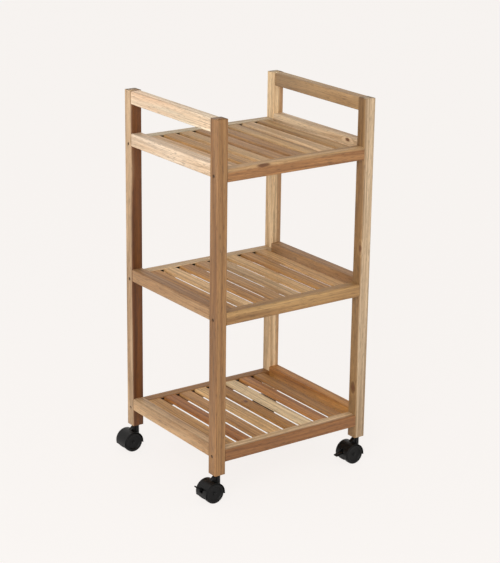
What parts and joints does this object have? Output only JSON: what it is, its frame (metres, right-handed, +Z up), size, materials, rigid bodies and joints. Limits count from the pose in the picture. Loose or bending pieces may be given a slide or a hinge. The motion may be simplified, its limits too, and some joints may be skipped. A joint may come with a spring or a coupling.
{
  "type": "utility cart",
  "caption": "Tall wooden utility cart with slatted shelves, end handles and swivelling twin-wheel castors, brake pedals on the front ones.",
  "frame": {"origin": "on the floor under the middle of the whole cart's footprint, castors as pictured", "axes": "+X to the right along the front rails, +Y from the front towards the back, +Z up from the floor"},
  "size_m": [0.4163, 0.345, 0.779],
  "materials": {
    "post_wood": "oiled",
    "side_wood": "oiled",
    "rail_wood": "oiled",
    "slat_wood": "oiled",
    "hood_plastic": "satin",
    "wheel_plastic": "matte",
    "plated_steel": "zinc plated"
  },
  "bodies": {
    "frame": {"front_left_post": "post_wood", "front_left_castor_stem": "plated_steel", "front_right_post": "post_wood", "front_right_castor_stem": "plated_steel", "back_left_post": "post_wood", "back_left_castor_stem": "plated_steel", "back_right_post": "post_wood", "back_right_castor_stem": "plated_steel", "left_handle": "side_wood", "right_handle": "side_wood", "lower_left_apron": "side_wood", "lower_right_apron": "side_wood", "lower_front_rail": "rail_wood", "lower_back_rail": "rail_wood", "lower_slats": "slat_wood", "middle_left_apron": "side_wood", "middle_right_apron": "side_wood", "middle_front_rail": "rail_wood", "middle_back_rail": "rail_wood", "middle_slats": "slat_wood", "top_left_apron": "side_wood", "top_right_apron": "side_wood", "top_front_rail": "rail_wood", "top_back_rail": "rail_wood", "top_slats": "slat_wood", "joint_bolts": "plated_steel"},
    "front_left_castor": {"front_left_castor_hood": "hood_plastic", "front_left_castor_axle": "plated_steel", "front_left_pedal_pin": "plated_steel"},
    "front_left_wheel_1": {"front_left_wheel_1": "wheel_plastic"},
    "front_left_wheel_2": {"front_left_wheel_2": "wheel_plastic"},
    "front_left_brake_pedal": {"front_left_brake_pedal": "hood_plastic"},
    "front_right_castor": {"front_right_castor_hood": "hood_plastic", "front_right_castor_axle": "plated_steel", "front_right_pedal_pin": "plated_steel"},
    "front_right_wheel_1": {"front_right_wheel_1": "wheel_plastic"},
    "front_right_wheel_2": {"front_right_wheel_2": "wheel_plastic"},
    "front_right_brake_pedal": {"front_right_brake_pedal": "hood_plastic"},
    "back_left_castor": {"back_left_castor_hood": "hood_plastic", "back_left_castor_axle": "plated_steel"},
    "back_left_wheel_1": {"back_left_wheel_1": "wheel_plastic"},
    "back_left_wheel_2": {"back_left_wheel_2": "wheel_plastic"},
    "back_right_castor": {"back_right_castor_hood": "hood_plastic", "back_right_castor_axle": "plated_steel"},
    "back_right_wheel_1": {"back_right_wheel_1": "wheel_plastic"},
    "back_right_wheel_2": {"back_right_wheel_2": "wheel_plastic"}
  },
  "joints": [
    {"name": "front_left_castor_swivel", "type": "hinge", "parent": "frame", "child": "front_left_castor", "pos_m": [-0.15754, -0.1545, 0.05], "axis": [0, 0, 1], "continuous": true},
    {"name": "front_left_wheel_1_spin", "type": "hinge", "parent": "front_left_castor", "child": "front_left_wheel_1", "pos_m": [-0.17253, -0.1545, 0.021], "axis": [0, 1, 0], "continuous": true},
    {"name": "front_left_wheel_2_spin", "type": "hinge", "parent": "front_left_castor", "child": "front_left_wheel_2", "pos_m": [-0.17253, -0.1545, 0.021], "axis": [0, 1, 0], "continuous": true},
    {"name": "front_left_pedal_hinge", "type": "hinge", "parent": "front_left_castor", "child": "front_left_brake_pedal", "pos_m": [-0.18804, -0.1545, 0.0265], "axis": [0, -1, 0], "range_deg": [0, 45]},
    {"name": "front_right_castor_swivel", "type": "hinge", "parent": "frame", "child": "front_right_castor", "pos_m": [0.19546, -0.1545, 0.05], "axis": [0, 0, 1], "continuous": true},
    {"name": "front_right_wheel_1_spin", "type": "hinge", "parent": "front_right_castor", "child": "front_right_wheel_1", "pos_m": [0.18046, -0.1545, 0.021], "axis": [0, 1, 0], "continuous": true},
    {"name": "front_right_wheel_2_spin", "type": "hinge", "parent": "front_right_castor", "child": "front_right_wheel_2", "pos_m": [0.18046, -0.1545, 0.021], "axis": [0, 1, 0], "continuous": true},
    {"name": "front_right_pedal_hinge", "type": "hinge", "parent": "front_right_castor", "child": "front_right_brake_pedal", "pos_m": [0.16497, -0.1545, 0.0265], "axis": [0, -1, 0], "range_deg": [-45, 0]},
    {"name": "back_left_castor_swivel", "type": "hinge", "parent": "frame", "child": "back_left_castor", "pos_m": [-0.15754, 0.1545, 0.05], "axis": [0, 0, 1], "continuous": true},
    {"name": "back_left_wheel_1_spin", "type": "hinge", "parent": "back_left_castor", "child": "back_left_wheel_1", "pos_m": [-0.17253, 0.1545, 0.021], "axis": [0, 1, 0], "continuous": true},
    {"name": "back_left_wheel_2_spin", "type": "hinge", "parent": "back_left_castor", "child": "back_left_wheel_2", "pos_m": [-0.17253, 0.1545, 0.021], "axis": [0, 1, 0], "continuous": true},
    {"name": "back_right_castor_swivel", "type": "hinge", "parent": "frame", "child": "back_right_castor", "pos_m": [0.19546, 0.1545, 0.05], "axis": [0, 0, 1], "continuous": true},
    {"name": "back_right_wheel_1_spin", "type": "hinge", "parent": "back_right_castor", "child": "back_right_wheel_1", "pos_m": [0.18046, 0.1545, 0.021], "axis": [0, 1, 0], "continuous": true},
    {"name": "back_right_wheel_2_spin", "type": "hinge", "parent": "back_right_castor", "child": "back_right_wheel_2", "pos_m": [0.18046, 0.1545, 0.021], "axis": [0, 1, 0], "continuous": true}
  ]
}
